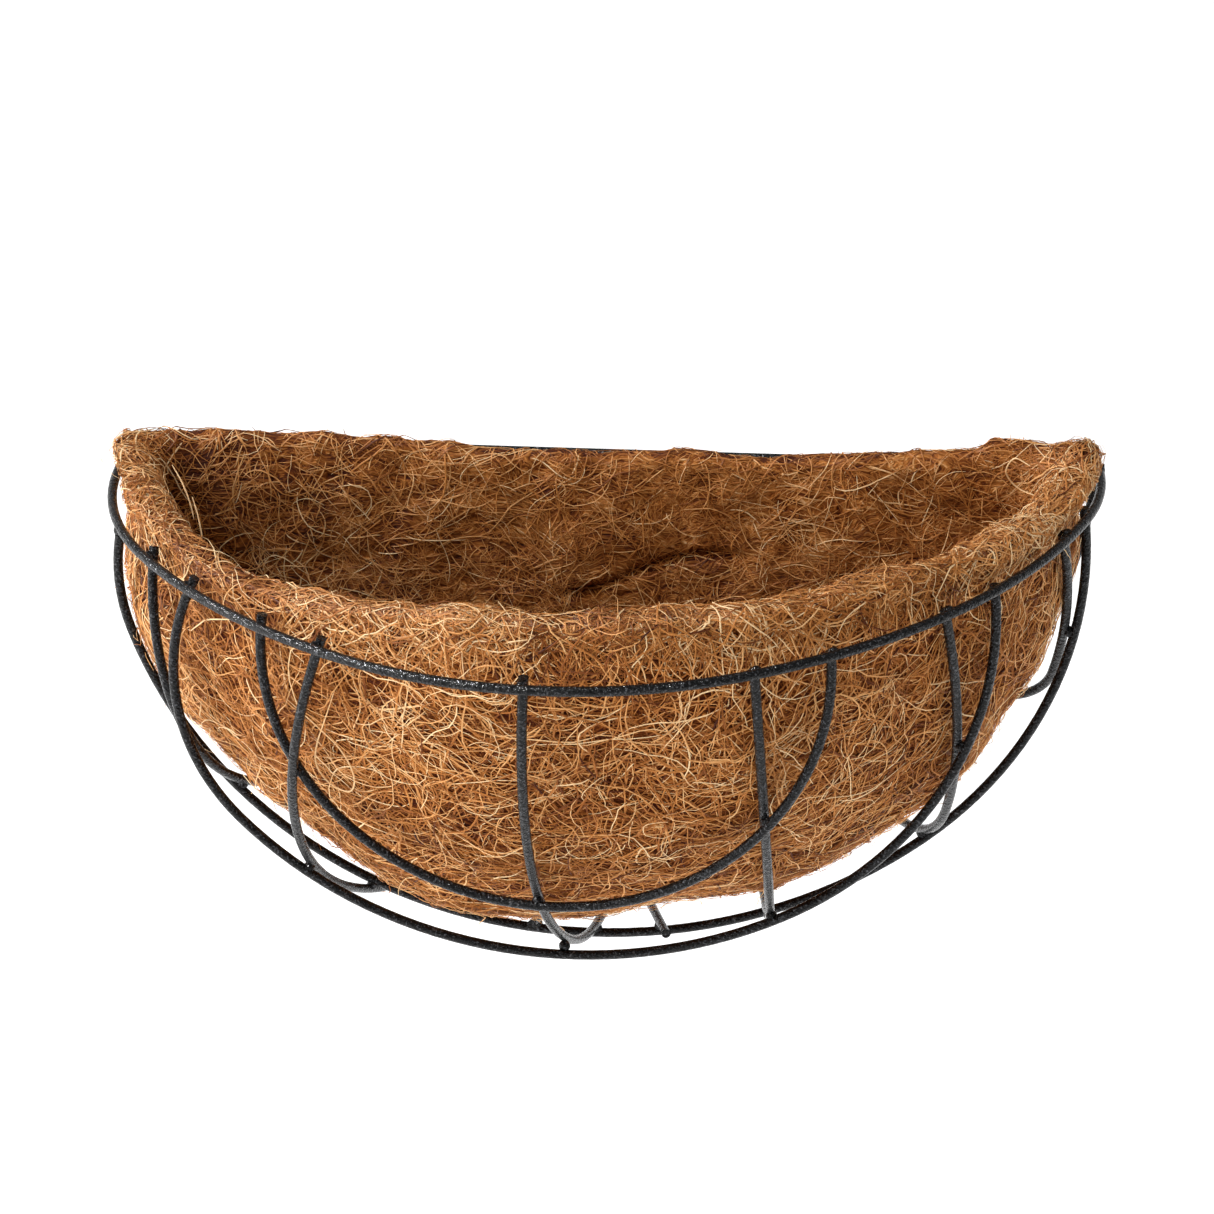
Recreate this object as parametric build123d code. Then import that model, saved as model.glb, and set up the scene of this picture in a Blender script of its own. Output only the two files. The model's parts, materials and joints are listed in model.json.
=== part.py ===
from build123d import *
import os
from math import cos, radians, sin

# Half-round hanging basket: a welded frame of round steel wire with a loose moulded coir liner.
# Millimetres. +X runs to the right along the back bar, +Y points into the wall, +Z is up.
# The wall is the plane y = 0. The origin is on the rear side of the back bar, above the lowest
# point of the wall hoop. The frame is bent by hand, so its two sides differ by a few millimetres.
# A "station" is a fraction of the rim hoop's length, from its left end to its right end.

# ---- driving dimensions ----
wire = 3.8                    # diameter of every wire
layer = 4.0                   # between the centre lines of two wires that cross
left_inset = 5.1              # from the rim's centre line to a wire inside it, on the left half
right_inset = 4.0             # and on the right half
left_tail = 2.5               # height of a cut end above the rim's centre line, on the left half
right_tail = -0.3             # and on the right half, where the ends are cut flush
bead = 2.3                    # radius of a weld bead

rim_depth = 203.5             # rim's centre line, at the front
nose_half_width = 73.5        # the rounder front stretch of the rim
nose_rise = 18.0
left_shoulder = (-166.0, -105.0)       # where the rim's side turns towards the wall
right_shoulder = (192.5, -49.0)
left_end_x = -188.5           # rim's centre line, at the wall
right_end_x = 198.0
bar_overhang = 2.0            # bar beyond the rim's ends

# name: ((left station, right station), depth of the lowest point,
#        left and right shoulder as (distance sideways from the middle, depth))
hoops = {
    "front_hoop": ((0.3003, 0.6777), 115.3, (75.2, 86.0), (89.0, 65.0)),
    "middle_hoop": ((0.2315, 0.8138), 163.1, (138.1, 100.9), (71.1, 145.6)),
    "rear_hoop": ((0.1302, 0.9420), 189.1, (185.1, 44.4), (128.1, 147.3)),
}
under_rim = ["rear_hoop"]     # hoops whose left end stops below the rim, not inside it

wall_hoop_depth = 192.0
wall_hoop_ends = (-188.5, 197.0)       # x at the bar
wall_hoop_turn = 51.0                  # degrees from straight down, where its bottom stretch ends

# name: (station on the rim, waist, knee, end at the wall hoop)
ribs = {
    "rib_1": (0.1770, (-156.3, -113.9, -56.2), (-140.4, -85.9, -107.1), (-128.2, -0.8, -137.5)),
    "rib_2": (0.3504, (-102.7, -152.0, -81.3), (-87.5, -66.9, -168.1), (-72.0, -0.8, -173.0)),
    "rib_3": (0.4866, (-10.4, -171.6, -90.5), (-4.3, -109.4, -161.8), (6.6, -0.8, -186.8)),
    "rib_4": (0.6263, (76.0, -154.3, -85.9), (75.2, -110.3, -144.4), (62.3, -0.8, -176.4)),
    "rib_5": (0.7667, (145.7, -108.5, -62.8), (142.0, -76.8, -115.8), (110.2, -0.8, -150.8)),
    "rib_6": (0.9000, (186.5, -47.3, -33.5), (182.6, -23.7, -80.5), (161.4, -6.0, -101.2)),
}

# name: (x at the bar, x at the front end, depth of the front end)
struts = {
    "left_strut": (-13.0, -24.0, 179.6),
    "right_strut": (13.0, 31.0, 181.0),
}
strut_corner_depth = 196.0
strut_bend = 6.0
strut_reach = 72.0            # how far a strut's front end is from the wall

liner_radius = 185.0          # outside of the coir mat, from the origin
liner_thickness = 11.0
liner_back = 8.5              # gap between the wall and the mat's flat back
liner_lip_front = 28.0        # lip's height above the rim at the front
liner_lip_back = 6.0          # and at the wall

bar_y = -wire / 2
strut_y = bar_y - layer
joint_gap = 0.1               # between a butted end and the wire that it meets


def rod(path):
    """Round wire along a centre line, cut square at both ends."""
    section = Plane(origin=path @ 0, z_dir=path % 0) * Circle(wire / 2)
    return sweep(section, path=path)


def arch(left, left_shoulder, bottom, right_shoulder, right):
    """Bottom arc through three points, carried on by a tangent arc to each end."""
    base = ThreePointArc(left_shoulder, bottom, right_shoulder)
    left_arc = TangentArc(base @ 0, left, tangent=(base % 0) * -1)
    right_arc = TangentArc(base @ 1, right, tangent=base % 1)
    return Wire([left_arc, base, right_arc])


def rim_line():
    """Front nose, a long arc down each side, and a short one from the shoulder to the bar."""
    nose_y = nose_rise - rim_depth
    end_y = bar_y - wire / 2 - joint_gap
    nose = ThreePointArc((-nose_half_width, nose_y), (0, -rim_depth), (nose_half_width, nose_y))
    left_side = TangentArc(nose @ 0, left_shoulder, tangent=(nose % 0) * -1)
    right_side = TangentArc(nose @ 1, right_shoulder, tangent=nose % 1)
    left_end = TangentArc(left_side @ 1, (left_end_x, end_y), tangent=left_side % 1)
    right_end = TangentArc(right_side @ 1, (right_end_x, end_y), tangent=right_side % 1)
    return Wire([left_end, left_side, nose, right_side, right_end])


def on_rim(station):
    """Centre of a wire that stands against the inside of the rim, at its top end."""
    place = station if (rim @ 0).X < 0 else 1 - station
    along = rim % place
    inward = Vector(-along.Y, along.X) if along.X > 0 else Vector(along.Y, -along.X)
    if station < 0.5:
        inset, tail = left_inset, left_tail
    else:
        inset, tail = right_inset, right_tail
    return (rim @ place) + inward * inset + Vector(0, 0, tail)


def below_rim(station):
    place = station if (rim @ 0).X < 0 else 1 - station
    return (rim @ place) - Vector(0, 0, layer)


def hoop_line(name):
    """Upright arch that hangs between two places on the rim."""
    stations, depth, left_turn, right_turn = hoops[name]
    left = below_rim(stations[0]) if name in under_rim else on_rim(stations[0])
    right = on_rim(stations[1])
    middle = (left + right) / 2
    sideways = Vector(right.X - left.X, right.Y - left.Y).normalized()

    def place(distance, down):
        return Vector(middle.X, middle.Y) + sideways * distance - Vector(0, 0, down)

    return arch(
        left,
        place(-left_turn[0], left_turn[1]),
        place(0, depth),
        place(right_turn[0], right_turn[1]),
        right,
    )


def wall_hoop_line():
    top_z = bar_y - joint_gap
    turn_x = wall_hoop_depth * sin(radians(wall_hoop_turn))
    turn_z = -wall_hoop_depth * cos(radians(wall_hoop_turn))
    return arch(
        (wall_hoop_ends[0], bar_y, top_z),
        (-turn_x, bar_y, turn_z),
        (0, bar_y, -wall_hoop_depth),
        (turn_x, bar_y, turn_z),
        (wall_hoop_ends[1], bar_y, top_z),
    )


def rib_line(station, waist, knee, end):
    """Down from the rim, then back under the bowl to the wall hoop."""
    drop = ThreePointArc(on_rim(station), waist, knee)
    return Wire([drop, TangentArc(knee, end, tangent=drop % 1)])


def strut_line(bar_x, front_x, front_depth):
    """Down the wall in front of the bar and the wall hoop, then forward to the rear hoop."""
    top = (bar_x, strut_y, left_tail)
    corner = (bar_x, strut_y, -strut_corner_depth)
    front = (front_x, -strut_reach, -front_depth)
    return FilletPolyline(top, corner, front, radius=strut_bend)


def weld(first, second):
    """Bead that joins two wires where their centre lines come closest."""
    _, near, far = first.distance_to_with_closest_points(second)
    place = (near + far) / 2
    place.Y = min(place.Y, -bead)
    return Pos(place) * Sphere(bead)


rim = rim_line()

bar_start = left_end_x - bar_overhang
bar_stop = right_end_x + bar_overhang
lines = {"rim_hoop": rim}
lines["back_bar"] = Line((bar_start, bar_y, 0), (bar_stop, bar_y, 0))
lines["wall_hoop"] = wall_hoop_line()
for name in hoops:
    lines[name] = hoop_line(name)
for name, (station, waist, knee, end) in ribs.items():
    lines[name] = rib_line(station, waist, knee, end)
for name, (bar_x, front_x, front_depth) in struts.items():
    lines[name] = strut_line(bar_x, front_x, front_depth)

# name: (wire, the wires that are welded to it)
welds = {
    "rim_welds": ("rim_hoop", list(hoops) + list(ribs)),
    "front_hoop_welds": ("front_hoop", ["rib_2", "rib_3", "rib_4"]),
    "middle_hoop_welds": ("middle_hoop", ["rib_2", "rib_3", "rib_4", "rib_5"]),
    "rear_hoop_welds": ("rear_hoop", list(ribs) + list(struts)),
    "wall_hoop_welds": ("wall_hoop", list(ribs) + list(struts)),
    "bar_welds": ("back_bar", list(struts)),
}


def liner_bowl(radius, back, top):
    """Half bowl, solid, with its flat back the given distance from the wall."""
    outline = Line((0, top), (radius, top))
    outline += Line((radius, top), (radius, 0))
    outline += CenterArc((0, 0), radius, 0, -90)
    outline += Line((0, -radius), (0, top))
    bowl = revolve(Plane.XZ * make_face(outline), axis=Axis.Z)
    ahead = (Align.CENTER, Align.MAX, Align.CENTER)
    return bowl & Pos(0, -back, 0) * Box(3 * radius, 2 * radius, 4 * radius, align=ahead)


def coir_liner():
    """Moulded mat: half bowl with a flat back and a lip that slopes down towards the wall."""
    lip_fall = liner_lip_front - liner_lip_back
    tall = liner_lip_front + lip_fall
    mat = liner_bowl(liner_radius, liner_back, tall)
    mat -= liner_bowl(liner_radius - liner_thickness, liner_back + liner_thickness, tall + 1)
    slope = lip_fall / (liner_radius - liner_back)
    lip_plane = Plane(origin=(0, -liner_radius, liner_lip_front), z_dir=(0, slope, 1))
    return split(mat, bisect_by=lip_plane, keep=Keep.BOTTOM)


# ---- write ----
nodes = {name: rod(line) for name, line in lines.items()}
for name, (base, others) in welds.items():
    nodes[name] = Compound([weld(lines[base], lines[other]) for other in others])
butt_ends = [rim @ 0, rim @ 1, lines["wall_hoop"] @ 0, lines["wall_hoop"] @ 1]
beads = [Pos(end.X, min(end.Y, -bead), end.Z) * Sphere(bead) for end in butt_ends]
nodes["bar_end_welds"] = Compound(beads)
nodes["coir_liner"] = coir_liner()

os.makedirs("parts", exist_ok=True)
for name, shape in nodes.items():
    export_step(shape, f"parts/{name}.step")
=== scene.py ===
import json
import math

import bpy
import numpy as np
from mathutils import Matrix, Vector, noise
from mathutils.bvhtree import BVHTree


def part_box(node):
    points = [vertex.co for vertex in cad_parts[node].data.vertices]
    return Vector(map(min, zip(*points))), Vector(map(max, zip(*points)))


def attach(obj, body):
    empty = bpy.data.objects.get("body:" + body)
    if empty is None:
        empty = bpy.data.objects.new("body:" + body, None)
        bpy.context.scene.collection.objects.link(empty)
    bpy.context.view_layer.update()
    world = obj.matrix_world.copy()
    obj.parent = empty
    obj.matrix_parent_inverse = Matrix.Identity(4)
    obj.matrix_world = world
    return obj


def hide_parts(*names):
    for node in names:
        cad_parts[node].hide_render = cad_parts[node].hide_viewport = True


# Looks for the half-round hanging basket: hammered black wire and a mat of matted coconut fibre.
# Metres, +X right along the wall, +Y into the wall, +Z up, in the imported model's own frame.
# "Around" is an angle in degrees from straight ahead, negative to the left.

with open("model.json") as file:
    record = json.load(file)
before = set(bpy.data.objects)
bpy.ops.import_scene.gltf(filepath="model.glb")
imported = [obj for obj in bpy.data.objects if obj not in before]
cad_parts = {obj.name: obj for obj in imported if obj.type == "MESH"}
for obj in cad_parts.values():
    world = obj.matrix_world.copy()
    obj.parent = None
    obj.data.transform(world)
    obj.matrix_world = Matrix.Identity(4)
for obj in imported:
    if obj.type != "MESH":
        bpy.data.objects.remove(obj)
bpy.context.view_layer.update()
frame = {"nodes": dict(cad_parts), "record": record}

MM = 0.001
LINER_LOW, LINER_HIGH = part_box("coir_liner")
LINER_RADIUS = (LINER_HIGH.x - LINER_LOW.x) / 2     # outside of the bowl, from the origin
LINER_BACK = LINER_HIGH.y                           # outside of the flat back
LINER_WALL = 0.011                                  # thickness of the mat
WIRE_BODY = "frame"
LINER_BODY = "liner"

rng = np.random.default_rng(7)


# ---------------------------------------------------------------- node helpers

def new_material(name):
    """An empty material with its Principled shader."""
    material = bpy.data.materials.new(name)
    material.use_nodes = True
    tree = material.node_tree
    return material, tree, tree.nodes["Principled BSDF"]


def object_coordinates(tree):
    """Places on the object, in its own frame."""
    return tree.nodes.new("ShaderNodeTexCoord").outputs["Object"]


def noise_node(tree, vector, per_metre, detail=3.0, roughness=0.5):
    node = tree.nodes.new("ShaderNodeTexNoise")
    node.inputs["Scale"].default_value = per_metre
    node.inputs["Detail"].default_value = detail
    node.inputs["Roughness"].default_value = roughness
    tree.links.new(vector, node.inputs["Vector"])
    return node


def noise_value(tree, vector, per_metre, detail=3.0, roughness=0.5):
    return noise_node(tree, vector, per_metre, detail, roughness).outputs["Fac"]


def attribute_value(tree, name):
    """A number that the mesh carries at each of its points."""
    node = tree.nodes.new("ShaderNodeAttribute")
    node.attribute_name = name
    return node.outputs["Fac"]


def grey(level):
    return (level, level, level)


def ramp(tree, value, stops):
    """A colour ramp from (position, colour) stops."""
    node = tree.nodes.new("ShaderNodeValToRGB")
    elements = node.color_ramp.elements
    while len(elements) < len(stops):
        elements.new(0.5)
    for element, (position, colour) in zip(elements, stops):
        element.position = position
        element.color = (*colour, 1)
    tree.links.new(value, node.inputs["Fac"])
    return node.outputs["Color"]


def math_node(tree, operation, first, second):
    """Arithmetic on two values, each a number or another node's output."""
    node = tree.nodes.new("ShaderNodeMath")
    node.operation = operation
    for socket, value in zip(node.inputs, (first, second)):
        if isinstance(value, (int, float)):
            socket.default_value = value
        else:
            tree.links.new(value, socket)
    return node.outputs["Value"]


def stretched(tree, value, middle, gain):
    """How far a value is from its middle, times a gain."""
    return math_node(tree, "MULTIPLY", math_node(tree, "SUBTRACT", value, middle), gain)


def spotted(tree, where, ground, spot):
    """One even colour laid over another where a mask is white."""
    node = tree.nodes.new("ShaderNodeMix")
    node.data_type = "RGBA"
    factor_socket, ground_socket, spot_socket = node.inputs[0], node.inputs[6], node.inputs[7]
    tree.links.new(where, factor_socket)
    tree.links.new(ground, ground_socket)
    spot_socket.default_value = (*spot, 1)
    return node.outputs[2]


def bump(tree, shader, height, strength, distance):
    node = tree.nodes.new("ShaderNodeBump")
    node.inputs["Strength"].default_value = strength
    node.inputs["Distance"].default_value = distance
    tree.links.new(height, node.inputs["Height"])
    tree.links.new(node.outputs["Normal"], shader.inputs["Normal"])


# ---------------------------------------------------------------- materials

COAT_DARK = (0.001, 0.001, 0.0013)
COAT_LIGHT = (0.004, 0.004, 0.0045)
COAT_FLECK = (0.075, 0.077, 0.083)
COAT_LUMP_HEIGHT = 0.0009


def hammered_black():
    """Black powder coat with the small glossy lumps and pale flecks of a hammer finish."""
    material, tree, shader = new_material("hammered_black")
    place = object_coordinates(tree)
    lumps = noise_value(tree, place, 620, detail=2.0, roughness=0.6)
    grain = noise_value(tree, place, 1500, detail=2.0)
    specks = noise_value(tree, place, 1050, detail=1.5)
    flecks = ramp(tree, specks, [(0.57, grey(0.0)), (0.68, grey(1.0))])
    coat = ramp(tree, lumps, [(0.36, COAT_DARK), (0.62, COAT_LIGHT)])
    tree.links.new(spotted(tree, flecks, coat, COAT_FLECK), shader.inputs["Base Color"])
    tree.links.new(math_node(tree, "MULTIPLY", flecks, 0.5), shader.inputs["Metallic"])
    gloss = ramp(tree, grain, [(0.35, grey(0.08)), (0.70, grey(0.18))])
    tree.links.new(gloss, shader.inputs["Roughness"])
    height = math_node(tree, "ADD", lumps, math_node(tree, "MULTIPLY", grain, 0.35))
    bump(tree, shader, height, 1.0, COAT_LUMP_HEIGHT)
    shader.inputs["Specular IOR Level"].default_value = 0.19
    return material


# From the darkest fibre to the palest.
COIR_TONES = [
    (0.00, (0.045, 0.006, 0.0008)),
    (0.22, (0.135, 0.031, 0.004)),
    (0.45, (0.340, 0.106, 0.018)),
    (0.68, (0.590, 0.230, 0.055)),
    (0.86, (0.840, 0.450, 0.175)),
    (1.00, (0.970, 0.700, 0.390)),
]

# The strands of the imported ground: how each set is turned, how many noise lumps to the metre lie
# along a strand and across it, and how far the strands wander from straight.
STRAND_TURNS = [(12, 35, 20), (-70, 25, 80), (40, -65, 140), (95, 10, -50)]
STRANDS_ALONG = 45
STRANDS_ACROSS = 950
STRAND_WANDER = 0.030
STRAND_HEIGHT = 0.003


def strands(tree, vector, turn):
    """Noise drawn out into long thin strands along one direction."""
    mapping = tree.nodes.new("ShaderNodeMapping")
    mapping.inputs["Rotation"].default_value = [math.radians(angle) for angle in turn]
    mapping.inputs["Scale"].default_value = (STRANDS_ALONG, STRANDS_ACROSS, STRANDS_ACROSS)
    tree.links.new(vector, mapping.inputs["Vector"])
    return noise_value(tree, mapping.outputs["Vector"], 1.0, detail=2.0)


def wandering(tree, place):
    """Places shifted by a soft noise, so that what is drawn on them isn't straight."""
    wander = noise_node(tree, place, 38, detail=2.0)
    shift = tree.nodes.new("ShaderNodeVectorMath")
    shift.operation = "MULTIPLY_ADD"
    tree.links.new(wander.outputs["Color"], shift.inputs[0])
    shift.inputs[1].default_value = (STRAND_WANDER, STRAND_WANDER, STRAND_WANDER)
    tree.links.new(place, shift.inputs[2])
    return shift.outputs["Vector"]


def matted_coir():
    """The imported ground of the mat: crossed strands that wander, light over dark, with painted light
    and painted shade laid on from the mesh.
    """
    material, tree, shader = new_material("matted_coir")
    place = object_coordinates(tree)
    wandered = wandering(tree, place)
    layers = [strands(tree, wandered, turn) for turn in STRAND_TURNS]
    height = layers[0]
    for layer in layers[1:]:
        height = math_node(tree, "MAXIMUM", height, layer)
    lumps = noise_value(tree, place, 75, detail=4.0)
    tone = math_node(tree, "ADD", stretched(tree, height, 0.50, 2.4), stretched(tree, lumps, 0.5, 0.9))
    # Painted light on the back's inside, and painted shade in its fold and at its left end.
    tone = math_node(tree, "ADD", tone, attribute_value(tree, "painted_light_and_shade"))
    tree.links.new(ramp(tree, tone, COIR_TONES), shader.inputs["Base Color"])
    bump(tree, shader, height, 0.9, STRAND_HEIGHT)
    shader.inputs["Roughness"].default_value = 0.82
    shader.inputs["Specular IOR Level"].default_value = 0.08
    return material


def coir_fibre():
    """One loose fibre: its own tone all along, a little uneven, with a low waxy gloss."""
    material, tree, shader = new_material("coir_fibre")
    unevenness = 0.24
    tone = attribute_value(tree, "tone")
    uneven = noise_value(tree, object_coordinates(tree), 420, detail=2.0)
    value = math_node(tree, "ADD", tone, math_node(tree, "MULTIPLY", uneven, unevenness))
    value = math_node(tree, "SUBTRACT", value, unevenness / 2)
    tree.links.new(ramp(tree, value, COIR_TONES), shader.inputs["Base Color"])
    gloss = ramp(tree, uneven, [(0.3, grey(0.42)), (0.7, grey(0.70))])
    tree.links.new(gloss, shader.inputs["Roughness"])
    shader.inputs["Specular IOR Level"].default_value = 0.15
    return material


# ---------------------------------------------------------------- the mat's shape

# The CAD liner's lip, in millimetres: its height above the rim at the wall, and how much higher it
# is at the front.
CAD_LIP_AT_WALL = 6.0
CAD_LIP_RISE = 22.0

# Height of the real lip above the rim, in millimetres: round the bowl by the angle around, and
# along the flat back by distance from the middle.
LIP_ROUND = [
    (-90, 11.5), (-80, 11.0), (-70, 9.0), (-60, 7.0), (-46, 4.5), (-38, 7.5), (-30, 10.0), (-15, 16.0),
    (0, 16.5), (15, 17.0), (30, 15.5), (45, 15.0), (60, 10.0), (72, 9.0), (84, 16.0), (90, 17.5),
]
LIP_BACK = [
    (-190, 11.5), (-95, 11.5), (-62, 8.0), (-48, 5.6), (-34, 5.6), (-18, 8.0), (75, 7.4), (100, 10.0),
    (148, 12.0), (155, 17.5), (167, 17.5), (173, 14.5), (180, 18.0), (190, 17.5),
]

# The left and the right flank, where the mat is pressed out against the wires. "bowl" and "lip" are
# the angles around between which the pressing sets in; the amounts are in metres.
FLANKS = [
    {"side": -1, "bowl": (42, 66), "all_over": 0.0025, "half_way_down": 0.0080,
     "lip": (58, 78), "at_lip": 0.0058},
    {"side": 1, "bowl": (50, 72), "all_over": 0.0055, "half_way_down": 0.0020,
     "lip": (64, 82), "at_lip": 0.0056},
]
LIP_PULLED_IN = 0.0015        # how far the lip's front stands back from the bowl
MIDDLE_CALM = 0.03            # nearer to the origin than this, the mat moves less

# Lumps of the bowl: direction from the origin, millimetres out (or in, below zero), spread in degrees.
BULGES = [
    ((-0.28, -0.52, -0.78), 5.5, 17),
    ((-0.60, -0.50, -0.62), 2.6, 14),
    ((0.16, -0.50, -0.84), -4.5, 11),
    ((0.60, -0.42, -0.68), 3.2, 15),
]

MAT_VOXEL = 0.0026            # size of the mesh's faces
MAT_SOFTENING = 10            # steps of smoothing that round the lip and the corners

# Roughness of the pressed surface: height and width of the lumps in metres, and the noise's seed.
MAT_LUMPS = [(0.0016, 0.045, 1), (0.0011, 0.016, 2), (0.0006, 0.006, 3)]
MAT_SHRINK = 0.0004           # keeps the lumps from standing proud
BACK_SHRINK = 0.0008          # further in on the flat back, which clears the struts
BACK_PROUD = 0.0003           # the most that the back may stand past the CAD liner's

# The curved fold on the inside of the flat back.
CREASE_DEPTH = 0.0035
CREASE_WIDTH = 0.0022
CREASE_LEVEL = -0.036         # height of its right end
CREASE_DROP = 0.019           # and how much lower its left end is
CREASE_PAINTED_SHADE = 0.32          # painted shade: tone taken off in the fold
BACK_PAINTED_LIGHT = 0.24             # painted light added on the rest of the back's inside, away from its left end, which keeps painted shade


def smooth(low, high, x):
    """Soft step from 0 at one value of x to 1 at another."""
    t = np.clip((x - low) / (high - low), 0.0, 1.0)
    return t * t * (3 - 2 * t)


def swell(points, size, seed):
    """Smooth noise between about -1 and 1, one value for each point."""
    offset = Vector((seed * 3.7, seed * 1.3, -seed * 2.1))
    return np.array([noise.noise(Vector(p) / size + offset) for p in points]) * 1.6


def points_of(mesh):
    points = np.empty(len(mesh.vertices) * 3)
    mesh.vertices.foreach_get("co", points)
    return points.reshape(-1, 3)


def normals_of(mesh):
    normals = np.empty(len(mesh.vertices) * 3)
    mesh.vertex_normals.foreach_get("vector", normals)
    return normals.reshape(-1, 3)


def set_points(mesh, points):
    mesh.vertices.foreach_set("co", points.ravel())
    mesh.update()


def is_back(points):
    """The flat back's outside."""
    return points[:, 1] > LINER_BACK - 0.004


def is_back_inner(points, normals):
    """The flat back's inside, which faces the bowl."""
    return (points[:, 1] > LINER_BACK - 0.016) & (normals[:, 1] < -0.5)


def apply_modifiers(piece):
    """The piece takes the mesh that its modifiers make of it."""
    graph = bpy.context.evaluated_depsgraph_get()
    mesh = bpy.data.meshes.new_from_object(piece.evaluated_get(graph))
    piece.modifiers.clear()
    piece.data = mesh


def remeshed_copy(node, name, voxel):
    """A closed, evenly meshed copy of a CAD solid."""
    piece = frame["nodes"][node].copy()
    piece.data = piece.data.copy()
    piece.name = name
    piece.animation_data_clear()
    for key in list(piece.keys()):
        del piece[key]
    piece.parent = None
    bpy.context.scene.collection.objects.link(piece)
    piece.data.materials.clear()
    remesh = piece.modifiers.new("remesh", "REMESH")
    remesh.mode = "VOXEL"
    remesh.voxel_size = voxel
    apply_modifiers(piece)
    return piece


def soften(piece, steps):
    """Rounds the edges that the solid has square."""
    smoothing = piece.modifiers.new("soften", "SMOOTH")
    smoothing.factor = 0.5
    smoothing.iterations = steps
    apply_modifiers(piece)


def lip_height(x, y, around):
    """Height of the real lip above the rim, in millimetres, at each place."""
    on_back = smooth(LINER_BACK - 0.022, LINER_BACK - 0.012, y)
    round_bowl = np.interp(around, *zip(*LIP_ROUND))
    along_back = np.interp(x / MM, *zip(*LIP_BACK))
    return round_bowl * (1 - on_back) + along_back * on_back


def pressed_out(points, around, height, at_lip):
    """How far the mat's outside stands out from the CAD's true bowl."""
    y, z = points[:, 1], points[:, 2]
    half_way_down = smooth(-0.005, -0.035, z) * smooth(-0.125, -0.070, z)
    above_bottom = smooth(-0.135, -0.100, z)
    up_the_lip = smooth(0.0025, 0.0090, height)
    off_the_back = smooth(-0.018, -0.055, y)
    in_front = smooth(60, 30, np.abs(around))
    bowl_out, lip_out = 0, 0
    for flank in FLANKS:
        turned = flank["side"] * around
        amount = flank["all_over"] + flank["half_way_down"] * half_way_down
        bowl_out = bowl_out + smooth(*flank["bowl"], turned) * amount
        lip_out = lip_out + flank["at_lip"] * smooth(*flank["lip"], turned)
    out = bowl_out * above_bottom + up_the_lip * lip_out
    far = np.linalg.norm(points, axis=1)
    for direction, amount, spread in BULGES:
        towards = points @ np.array(direction) / np.linalg.norm(direction) / far
        angle = np.degrees(np.arccos(np.clip(towards, -1, 1)))
        out += amount * MM * np.exp(-((angle / spread) ** 2)) * off_the_back
    return out - LIP_PULLED_IN * at_lip * in_front


def shape_mat(points):
    """Presses the mat out against the frame here and there, and gives the lip its uneven height."""
    x, y, z = points.T
    above_rim = z > 0
    radius = np.hypot(x, y)
    around = np.degrees(np.arctan2(x, -y))
    cad_lip = CAD_LIP_AT_WALL + CAD_LIP_RISE * (LINER_BACK - y) / (LINER_RADIUS + LINER_BACK)
    height = np.where(above_rim, z * lip_height(x, y, around) / cad_lip, z)
    at_lip = smooth(0.0, 0.008, height)
    from_middle = np.where(above_rim, radius, np.linalg.norm(points, axis=1))
    on_outside = smooth(LINER_RADIUS - 0.016, LINER_RADIUS - 0.009, from_middle)
    out = pressed_out(points, around, height, at_lip)
    # The lip is thicker than the bowl, and thickest at the right.
    thicker = 0.15 + 0.45 * smooth(50, 75, around) + 0.2 * smooth(50, 75, -around)
    plump = (radius - (LINER_RADIUS - LINER_WALL / 2)) * at_lip * on_outside * thicker
    # Straight out from the middle below the rim, and level above it.
    away = points * np.array([1, 1, 0]) * above_rim[:, None] + points * ~above_rim[:, None]
    away = away / np.maximum(np.linalg.norm(away, axis=1), MIDDLE_CALM)[:, None]
    moved = points + away * (out * on_outside + plump)[:, None]
    moved[:, 2] = np.where(above_rim, height, moved[:, 2])
    return moved


def crease(points, normals):
    """How deep each point lies in the fold on the inside of the flat back, from 0 to 1."""
    x, z = points[:, 0], points[:, 2]
    inside = (normals[:, 1] < -0.5) & (points[:, 1] > LINER_BACK - 0.02)
    line = CREASE_LEVEL - CREASE_DROP * smooth(0.045, -0.016, x)
    along = smooth(-0.022, -0.010, x) * smooth(0.066, 0.045, x)
    return np.where(inside, along * np.exp(-((z - line) / CREASE_WIDTH) ** 2), 0.0)


def coir_mat():
    """The moulded mat: a half bowl with lumps, a soft uneven lip and a rough flat back."""
    mat = remeshed_copy("coir_liner", "coir_mat", MAT_VOXEL)
    soften(mat, MAT_SOFTENING)
    points = shape_mat(points_of(mat.data))
    set_points(mat.data, points)
    normals = normals_of(mat.data)
    rise = 0
    for height, width, seed in MAT_LUMPS:
        rise = rise + height * swell(points, width, seed)
    rise -= MAT_SHRINK + CREASE_DEPTH * crease(points, normals) + BACK_SHRINK * is_back(points)
    moved = points + normals * rise[:, None]
    moved[:, 1] = np.minimum(moved[:, 1], LINER_BACK + BACK_PROUD)
    set_points(mat.data, moved)
    mat.data.shade_smooth()
    # Painted light on the back's inside, fading out towards its left end as painted shade, and painted
    # shade in the fold.
    back_painted_light = BACK_PAINTED_LIGHT * is_back_inner(moved, normals) * smooth(-0.17, -0.02, moved[:, 0])
    painted_light_and_shade = mat.data.attributes.new("painted_light_and_shade", "FLOAT", "POINT")
    painted_light_and_shade.data.foreach_set("value", back_painted_light - CREASE_PAINTED_SHADE * crease(moved, normals))
    return mat


# ---------------------------------------------------------------- fibres

def is_lip(centre):
    """From 0 just above the rim to 1 well up the lip."""
    return smooth(0.004, 0.012, centre[:, 2])


def is_outer(centre, normal):
    """The bowl's outside."""
    out = (normal[:, :2] * unit(centre[:, :2])).sum(1) + 0.2
    return (np.linalg.norm(centre, axis=1) > LINER_RADIUS - 0.005) & (out > 0)


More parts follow.
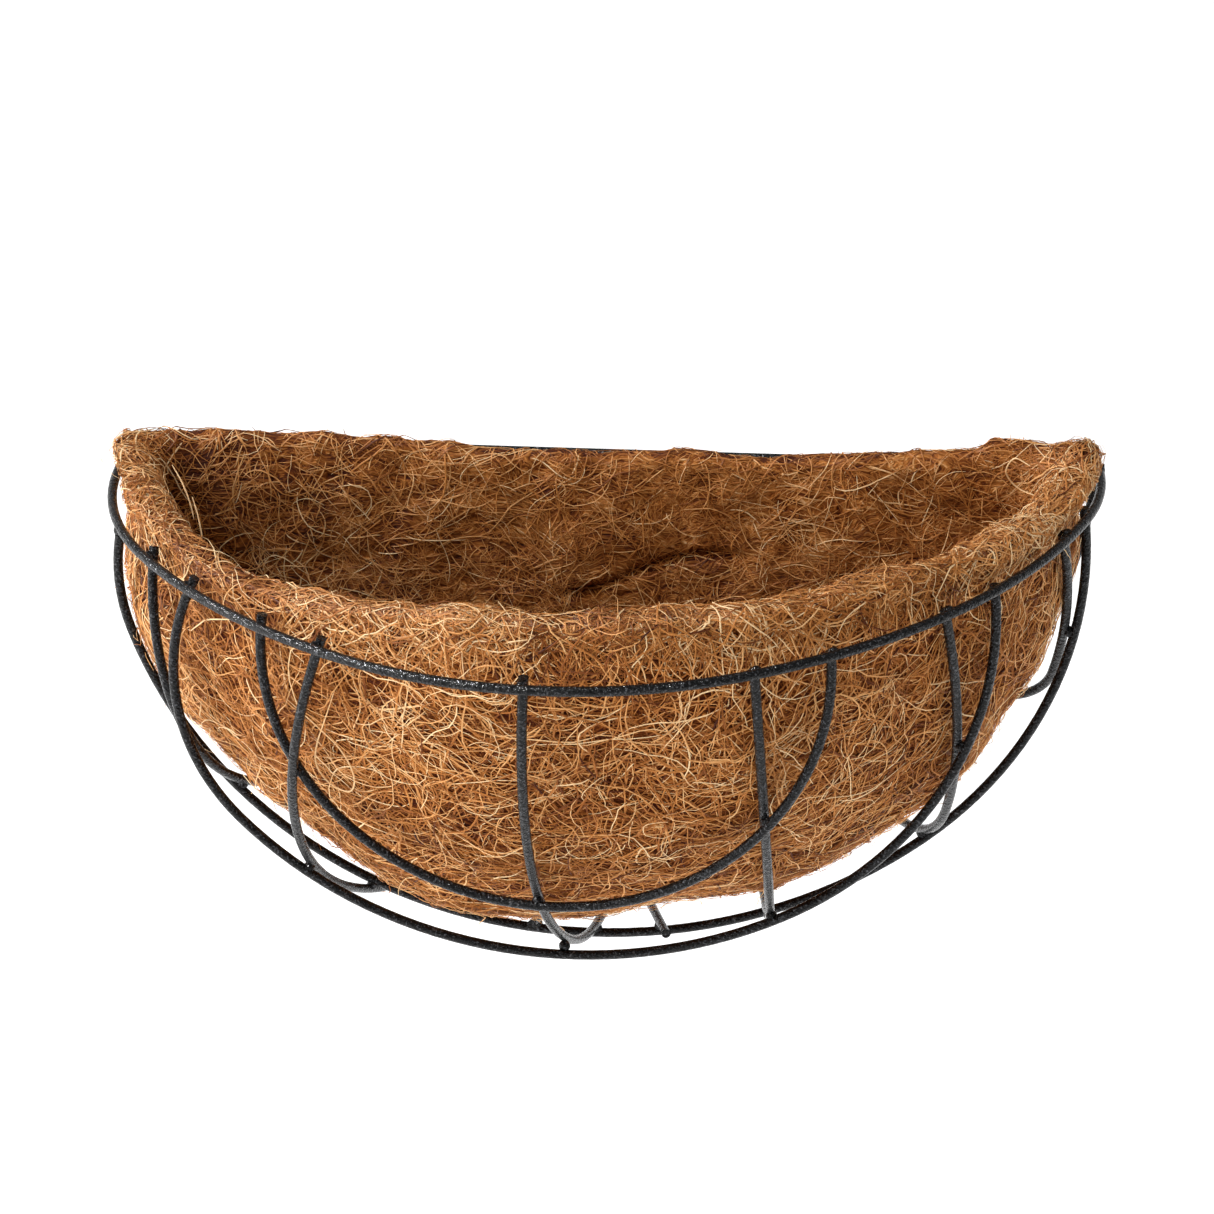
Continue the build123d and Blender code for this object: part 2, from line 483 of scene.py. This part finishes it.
def on_outside(centre, normal):
    return is_outer(centre, normal) * 1.0


def on_lip(centre, normal):
    return is_lip(centre) * (centre[:, 1] < LINER_BACK - 0.02)


def on_back_inside(centre, normal):
    return is_back_inner(centre, normal) * 1.0


def on_bowl_inside(centre, normal):
    return (~is_outer(centre, normal) & ~is_back(centre) & ~is_back_inner(centre, normal)) * 1.0


def on_back_outside(centre, normal):
    return is_back(centre) * 1.0


def everywhere(centre, normal):
    """Anywhere on the mat, most on the lip."""
    return 0.15 + 1.0 * is_outer(centre, normal) + 2.0 * is_lip(centre)


def where_strays_stand(centre, normal):
    """The bowl's outside and above all the lip, but clear of the wall."""
    return (0.5 * is_outer(centre, normal) + 2.5 * is_lip(centre)) * (centre[:, 1] < LINER_BACK - 0.025)


# Each layer of fibre: where it grows, how many fibres it has, their (shortest, longest) length,
# (thinnest, thickest) width and (lowest, highest) lift off the mat in millimetres, how sharply they
# curl, and the middle and the spread of their tones. Loose fibres have one end free. A fibre has
# 9 straight steps unless its layer says otherwise.
FIBRE_LAYERS = [
    {"name": "fibres_outer_under", "where": on_outside, "count": 5200, "length": (16, 60),
     "width": (0.45, 0.95), "curl": 45, "lift": (0.2, 1.2), "tones": (0.42, 0.17)},
    {"name": "fibres_outer", "where": on_outside, "count": 4200, "length": (14, 62),
     "width": (0.32, 0.66), "curl": 55, "lift": (0.6, 2.6), "tones": (0.66, 0.16)},
    {"name": "fibres_lip", "where": on_lip, "count": 4200, "length": (12, 46),
     "width": (0.32, 0.72), "curl": 70, "lift": (0.3, 2.4), "tones": (0.57, 0.21)},
    # The back's inside: the coir's own tones, raised as painted light.
    {"name": "fibres_back_inner", "where": on_back_inside, "count": 5000, "length": (9, 38),
     "width": (0.25, 0.55), "curl": 65, "lift": (0.1, 1.1), "tones": (0.63, 0.13)},
    {"name": "fibres_bowl_inner", "where": on_bowl_inside, "count": 2600, "length": (16, 60),
     "width": (0.45, 0.85), "curl": 45, "lift": (0.2, 1.6), "tones": (0.40, 0.16)},
    {"name": "fibres_back_outer", "where": on_back_outside, "count": 2200, "length": (16, 60),
     "width": (0.45, 0.85), "curl": 45, "lift": (0.05, 0.35), "tones": (0.48, 0.17)},
    {"name": "fibres_fuzz", "where": everywhere, "count": 5000, "length": (4, 15),
     "width": (0.22, 0.40), "curl": 60, "lift": (0.5, 3.0), "tones": (0.64, 0.17),
     "steps": 4, "loose": True},
    {"name": "fibres_stray", "where": where_strays_stand, "count": 400, "length": (14, 48),
     "width": (0.30, 0.48), "curl": 60, "lift": (2.0, 9.0), "tones": (0.88, 0.08),
     "steps": 12, "loose": True},
]
LENGTH_POWER, LIFT_POWER, WIDTH_POWER = 1.3, 2.0, 1.5     # how much commoner small sizes are
FIBRE_END_DEPTH = 0.0004      # how far a fibre's ends are buried in the mat
CURL_KEPT = 0.75              # how much of its bend a fibre keeps from one step to the next
END_TAPER = 0.12              # angle left off each end of the half wave that a fibre tapers by
CROWN = 0.8                   # height of a fibre's middle, as a share of half its width


def unit(v):
    return v / np.maximum(np.linalg.norm(v, axis=-1, keepdims=True), 1e-9)


def surface_samples(mesh, weights, count):
    """Random points on a mesh, more where its faces weigh more, and the normals there."""
    mesh.calc_loop_triangles()
    corners = np.empty(len(mesh.loop_triangles) * 3, np.int32)
    mesh.loop_triangles.foreach_get("vertices", corners)
    points = points_of(mesh)
    a, b, c = (points[corners.reshape(-1, 3)[:, i]] for i in range(3))
    cross = np.cross(b - a, c - a)
    area = np.linalg.norm(cross, axis=1) / 2
    centre = (a + b + c) / 3
    normal = cross / np.maximum(2 * area, 1e-12)[:, None]
    share = area * weights(centre, normal)
    chosen = rng.choice(len(area), count, p=share / share.sum())
    u, v = rng.random(count), rng.random(count)
    fold = u + v > 1
    u, v = np.where(fold, 1 - u, u), np.where(fold, 1 - v, v)
    place = a[chosen] + (b - a)[chosen] * u[:, None] + (c - a)[chosen] * v[:, None]
    return place, normal[chosen]


def nearest(tree, points):
    """The nearest surface point and its normal, for each point."""
    found = np.empty((len(points), 6))
    for i, point in enumerate(points):
        place, normal, _, _ = tree.find_nearest(point)
        found[i, :3] = place
        found[i, 3:] = normal
    return found[:, :3], found[:, 3:]


def along_surface(heading, normal):
    """The part of a heading that lies in the surface, at unit length."""
    return unit(heading - normal * (heading * normal).sum(1, keepdims=True))


def grow(tree, start, normal, length, curl, steps, lift, loose):
    """Fibre centre lines that wander over the mat, and the surface normals under them."""
    count = len(start)
    heading = along_surface(rng.normal(size=(count, 3)), normal)
    bend = rng.normal(size=count) * curl
    place, lines, ups = start.copy(), [], []
    step = (length / steps)[:, None]
    for k in range(steps + 1):
        arch = (k / steps) ** 1.4 if loose else math.sin(math.pi * k / steps)
        lines.append(place + normal * (lift * arch - FIBRE_END_DEPTH * (1 - arch))[:, None])
        ups.append(normal)
        side = np.cross(normal, heading)
        bend = bend * CURL_KEPT + rng.normal(size=count) * curl * CURL_KEPT
        heading = unit(heading + side * (bend[:, None] * step))
        place, normal = nearest(tree, place + heading * step)
        heading = along_surface(heading, normal)
    return np.stack(lines, 1), np.stack(ups, 1)


def ribbon_faces(index, column):
    """Quads between one column of the ribbons' points and the next."""
    near, far = index[:, :, column], index[:, :, column + 1]
    return np.stack([near[:, :-1], far[:, :-1], far[:, 1:], near[:, 1:]], -1).reshape(-1, 4)


def fibre_mesh(name, lines, ups, width, tone):
    """Crowned ribbons along the centre lines: an edge, a raised middle and an edge."""
    count, rows = lines.shape[:2]
    along = unit(np.gradient(lines, axis=1))
    side = unit(np.cross(along, ups))
    crown = unit(np.cross(side, along))
    taper = np.sin(np.linspace(END_TAPER, math.pi - END_TAPER, rows)) ** 0.35
    half = (width / 2)[:, None, None] * taper[None, :, None]
    across = np.stack([lines - side * half, lines + crown * half * CROWN, lines + side * half], 2)
    index = np.arange(count * rows * 3).reshape(count, rows, 3)
    faces = np.concatenate([ribbon_faces(index, column) for column in (0, 1)])
    mesh = bpy.data.meshes.new(name)
    mesh.vertices.add(count * rows * 3)
    mesh.vertices.foreach_set("co", across.ravel())
    mesh.loops.add(len(faces) * 4)
    mesh.loops.foreach_set("vertex_index", faces.ravel())
    mesh.polygons.add(len(faces))
    mesh.polygons.foreach_set("loop_start", np.arange(len(faces)) * 4)
    mesh.update(calc_edges=True)
    mesh.shade_smooth()
    tones = mesh.attributes.new("tone", "FLOAT", "POINT")
    tones.data.foreach_set("value", np.repeat(tone, rows * 3))
    piece = bpy.data.objects.new(name, mesh)
    bpy.context.scene.collection.objects.link(piece)
    return piece


def scattered(low, high, count, power):
    """Random sizes between two limits; a power above 1 makes small ones more common."""
    return low + (high - low) * rng.random(count) ** power


def fibre_tones(start, normal, middle, spread):
    """Each fibre's tone: lighter and darker patches, with painted shade low down and in the fold."""
    own_tone = rng.normal(middle, spread, len(start))
    tone = own_tone + 0.09 * swell(start, 0.030, 9) + 0.05 * swell(start, 0.090, 10)
    # Painted shade: lighter up the bowl, darker low down, and darker in the fold.
    painted_light_up_the_bowl = smooth(-0.16, -0.05, start[:, 2])
    tone += 0.10 * painted_light_up_the_bowl - 0.05 - 0.30 * crease(start, normal)
    return np.clip(tone, 0, 1)


def fibre_layer(tree, mesh, name, where, count, length, width, curl, lift, tones, steps=9, loose=False):
    """One layer of fibres lying on the mat, as a row of FIBRE_LAYERS says."""
    start, normal = surface_samples(mesh, where, count)
    lengths = scattered(*length, count, LENGTH_POWER) * MM
    lifts = scattered(*lift, count, LIFT_POWER) * MM
    lines, ups = grow(tree, start, normal, lengths, curl, steps, lifts, loose)
    tone = fibre_tones(start, normal, *tones)
    widths = scattered(*width, count, WIDTH_POWER) * MM
    return fibre_mesh(name, lines, ups, widths, tone)


# The few long fibres that stand clear of the mat. A loop hangs on the bowl's outside, by angle
# around and height; two strays lie inside the left end of the mouth and one curls at its right end.
BOWL_LOOP = [
    (-26, -0.022), (-28, -0.036), (-31, -0.054), (-32.3, -0.066), (-31, -0.074),
    (-28, -0.074), (-26.3, -0.064), (-27, -0.052), (-30, -0.043), (-34, -0.035),
]
BOWL_LOOP_CLEAR = 0.0022      # gap between the loop and the CAD liner
MOUTH_STRAYS = [
    [(-0.168, -0.034, 0.004), (-0.163, -0.040, -0.001), (-0.159, -0.046, -0.007),
     (-0.157, -0.050, -0.012)],
    [(-0.158, -0.046, -0.004), (-0.154, -0.055, -0.009), (-0.151, -0.064, -0.016),
     (-0.151, -0.072, -0.024)],
    [(0.170, -0.045, 0.020), (0.164, -0.043, 0.022), (0.161, -0.041, 0.015), (0.166, -0.040, 0.008),
     (0.174, -0.043, 0.006)],
]
PLACED_ROWS = 40
PLACED_WIDTH = 0.62 * MM
PLACED_TONE = 0.93


def smooth_curve(corners, rows):
    """A curve through the given points, with evenly spread rows."""
    corners = np.array(corners, float)
    ends = np.vstack([2 * corners[0] - corners[1], corners, 2 * corners[-1] - corners[-2]])
    t = np.linspace(0, len(corners) - 1.0001, rows)
    k = t.astype(int)
    f = (t - k)[:, None]
    p0, p1, p2, p3 = ends[k], ends[k + 1], ends[k + 2], ends[k + 3]
    return 0.5 * (2 * p1 + (p2 - p0) * f + (2 * p0 - 5 * p1 + 4 * p2 - p3) * f ** 2
                  + (3 * p1 - p0 - 3 * p2 + p3) * f ** 3)


def on_bowl(around, height):
    """A point just off the outside of the bowl."""
    reach = math.sqrt((LINER_RADIUS + BOWL_LOOP_CLEAR) ** 2 - height ** 2)
    return (reach * math.sin(math.radians(around)), -reach * math.cos(math.radians(around)), height)


def placed_fibres():
    """The loop on the bowl and the strays at the mouth, as one piece."""
    curves = [[on_bowl(around, height) for around, height in BOWL_LOOP], *MOUTH_STRAYS]
    lines = np.stack([smooth_curve(curve, PLACED_ROWS) for curve in curves])
    ups = np.broadcast_to(unit(np.array([0.1, -0.85, 0.5])), lines.shape)
    widths = np.full(len(curves), PLACED_WIDTH)
    return fibre_mesh("fibres_placed", lines, ups, widths, np.full(len(curves), PLACED_TONE))


def coir_fibres(mat):
    """All the layers of fibre, each its own piece."""
    mesh = mat.data
    tree = BVHTree.FromPolygons([v.co for v in mesh.vertices], [p.vertices for p in mesh.polygons])
    layers = [fibre_layer(tree, mesh, **layer) for layer in FIBRE_LAYERS]
    return [*layers, placed_fibres()]


# ---------------------------------------------------------------- set

FLOOR_HALF = 8.0
FLOOR_DROP = 0.30             # from the bottom of the basket to the floor
FLOOR_GLOW = 0.55
WORLD_GLOW = 0.38
LIT_POINT = Vector((0, -0.1, -0.05))
GLINT_SIZE = 0.14
GLINT_WATTS = 70

# Soft lights: name, place, size and watts.
SOFT_LIGHTS = [
    ("key", (-1.5, -0.40, 1.50), 0.6, 19),
    ("front_left", (-2.1, -1.7, 0.7), 1.5, 19),
    ("side", (-2.2, -0.6, 0.3), 1.0, 20),
    ("above", (-0.3, -1.2, 2.1), 1.1, 15),
]
# Small lights that show only as glints on the wire.
GLINTS = [("glint_side", (-1.75, -0.25, 1.32)), ("glint_front", (-1.2, -0.65, 1.72))]


def soft_light(name, place, size, watts):
    """A square light that faces the basket."""
    data = bpy.data.lights.new(name, "AREA")
    data.size = size
    data.energy = watts
    light = bpy.data.objects.new(name, data)
    light.location = place
    light.rotation_euler = (LIT_POINT - Vector(place)).to_track_quat("-Z", "Y").to_euler()
    bpy.context.scene.collection.objects.link(light)
    return light


def white_floor():
    """A plain, faintly glowing floor well below the basket."""
    half, level = FLOOR_HALF, LINER_LOW.z - FLOOR_DROP
    corners = [(-half, -half, level), (half, -half, level), (half, half, level), (-half, half, level)]
    mesh = bpy.data.meshes.new("floor")
    mesh.from_pydata(corners, [], [(0, 1, 2, 3)])
    floor = bpy.data.objects.new("floor", mesh)
    bpy.context.scene.collection.objects.link(floor)
    material, _, shader = new_material("floor_white")
    shader.inputs["Base Color"].default_value = (*grey(0.92), 1)
    shader.inputs["Roughness"].default_value = 0.9
    shader.inputs["Emission Color"].default_value = (*grey(1), 1)
    shader.inputs["Emission Strength"].default_value = FLOOR_GLOW
    mesh.materials.append(material)


def stage_and_light():
    """White floor and world, four soft lights from the left and above, and two glints."""
    white_floor()
    world = bpy.data.worlds.new("studio")
    world.use_nodes = True
    background = world.node_tree.nodes["Background"]
    background.inputs["Color"].default_value = (*grey(1), 1)
    background.inputs["Strength"].default_value = WORLD_GLOW
    bpy.context.scene.world = world
    for name, place, size, watts in SOFT_LIGHTS:
        soft_light(name, place, size, watts)
    for name, place in GLINTS:
        glint = soft_light(name, place, GLINT_SIZE, GLINT_WATTS)
        glint.visible_diffuse = False


def camera():
    """Looks down on the basket's front from a little to its right, through a long lens."""
    yaw, pitch, roll = math.radians(6.205), math.radians(27.0), math.radians(-0.865)
    distance, aside, raised = 1.4844, 0.0020, -0.0625
    right = Vector((math.cos(yaw), math.sin(yaw), 0))
    ahead = Vector((-math.sin(yaw) * math.cos(pitch), math.cos(yaw) * math.cos(pitch), -math.sin(pitch)))
    up = right.cross(ahead)
    across = right * math.cos(roll) + up * math.sin(roll)
    above = up * math.cos(roll) - right * math.sin(roll)
    data = bpy.data.cameras.new("camera")
    data.sensor_width = 36.0
    data.lens = 109.7
    data.clip_end = 50
    eye = bpy.data.objects.new("camera", data)
    turn = Matrix((across, above, -ahead)).transposed().to_4x4()
    eye.matrix_world = Matrix.Translation(across * aside + above * raised - ahead * distance) @ turn
    bpy.context.scene.collection.objects.link(eye)
    bpy.context.scene.camera = eye


# ---------------------------------------------------------------- build

camera()
stage_and_light()
bpy.context.scene.view_settings.view_transform = "Standard"

wire_finish = hammered_black()
for name in frame["record"]["behaviour"]["bodies"][WIRE_BODY]:
    node = frame["nodes"][name]
    node.data.materials.clear()
    node.data.materials.append(wire_finish)

mat = coir_mat()
mat.data.materials.append(matted_coir())
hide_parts("coir_liner")
fibre_finish = coir_fibre()
fibres = coir_fibres(mat)
for piece in fibres:
    piece.data.materials.append(fibre_finish)
for piece in [mat, *fibres]:
    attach(piece, LINER_BODY)
